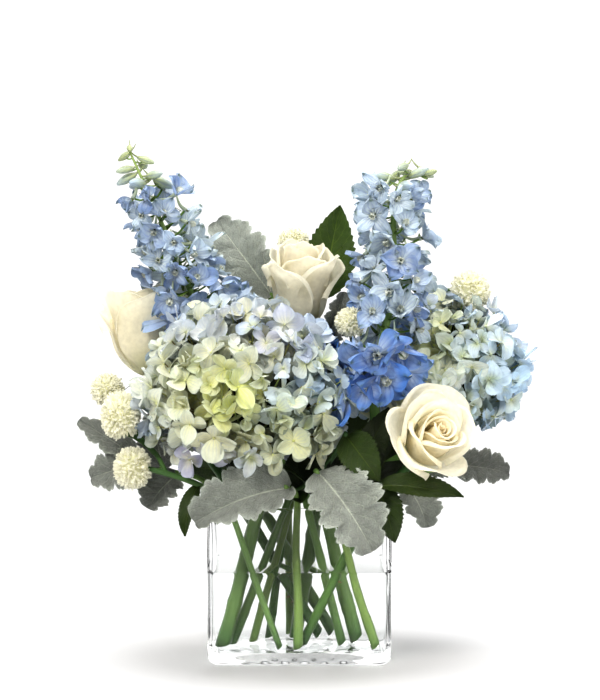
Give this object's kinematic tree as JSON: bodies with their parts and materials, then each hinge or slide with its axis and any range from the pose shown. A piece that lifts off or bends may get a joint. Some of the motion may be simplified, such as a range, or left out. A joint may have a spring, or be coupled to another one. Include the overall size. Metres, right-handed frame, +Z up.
{
  "type": "vase of cut flowers",
  "caption": "Mixed bouquet of hydrangea, delphinium, roses and button mums with silver foliage, standing in water in a clear rectangular glass vase.",
  "frame": {"origin": "centre of the vase's flat underside, on the surface it stands on", "axes": "+Z up out of the vase, the bouquet's front faces -Y, +X to the viewer's right along the vase's long side"},
  "size_m": [0.3738, 0.2097, 0.4224],
  "materials": {
    "vase_glass": "gloss",
    "water": "gloss",
    "stem_green": "satin",
    "rose_foliage": "satin",
    "dark_foliage": "satin",
    "silver_foliage": "matte",
    "rose_petals": "matte",
    "pompon_petals": "matte",
    "delphinium_petals": "matte",
    "delphinium_petals_deep": "matte",
    "hydrangea_petals": "matte"
  },
  "bodies": {
    "root": {"vase": "vase_glass", "water": "water", "hydrangea_left_stem": "stem_green", "hydrangea_right_stem": "stem_green", "delphinium_left_stem": "stem_green", "delphinium_right_stem": "stem_green", "rose_right_stem": "rose_foliage", "rose_centre_stem": "rose_foliage", "rose_left_stem": "rose_foliage", "pompon_left_stem": "stem_green", "pompon_back_stem": "stem_green", "pompon_centre_stem": "stem_green", "dusty_miller_back": "silver_foliage", "dusty_miller_centre": "silver_foliage", "dusty_miller_front_left": "silver_foliage", "dusty_miller_front_right": "silver_foliage", "dusty_miller_left": "silver_foliage", "dusty_miller_right": "silver_foliage", "greenery_front": "dark_foliage", "rose_right_bloom": "rose_petals", "rose_centre_bloom": "rose_petals", "rose_left_bloom": "rose_petals", "pompon_left_upper": "pompon_petals", "pompon_left_lower": "pompon_petals", "pompon_left_back": "pompon_petals", "pompon_back_right": "pompon_petals", "pompon_back_top": "pompon_petals", "pompon_centre": "pompon_petals", "delphinium_left_spike": "delphinium_petals", "delphinium_right_spike": "delphinium_petals_deep", "hydrangea_left_head": "hydrangea_petals", "hydrangea_right_head": "hydrangea_petals"}
  },
  "joints": []
}
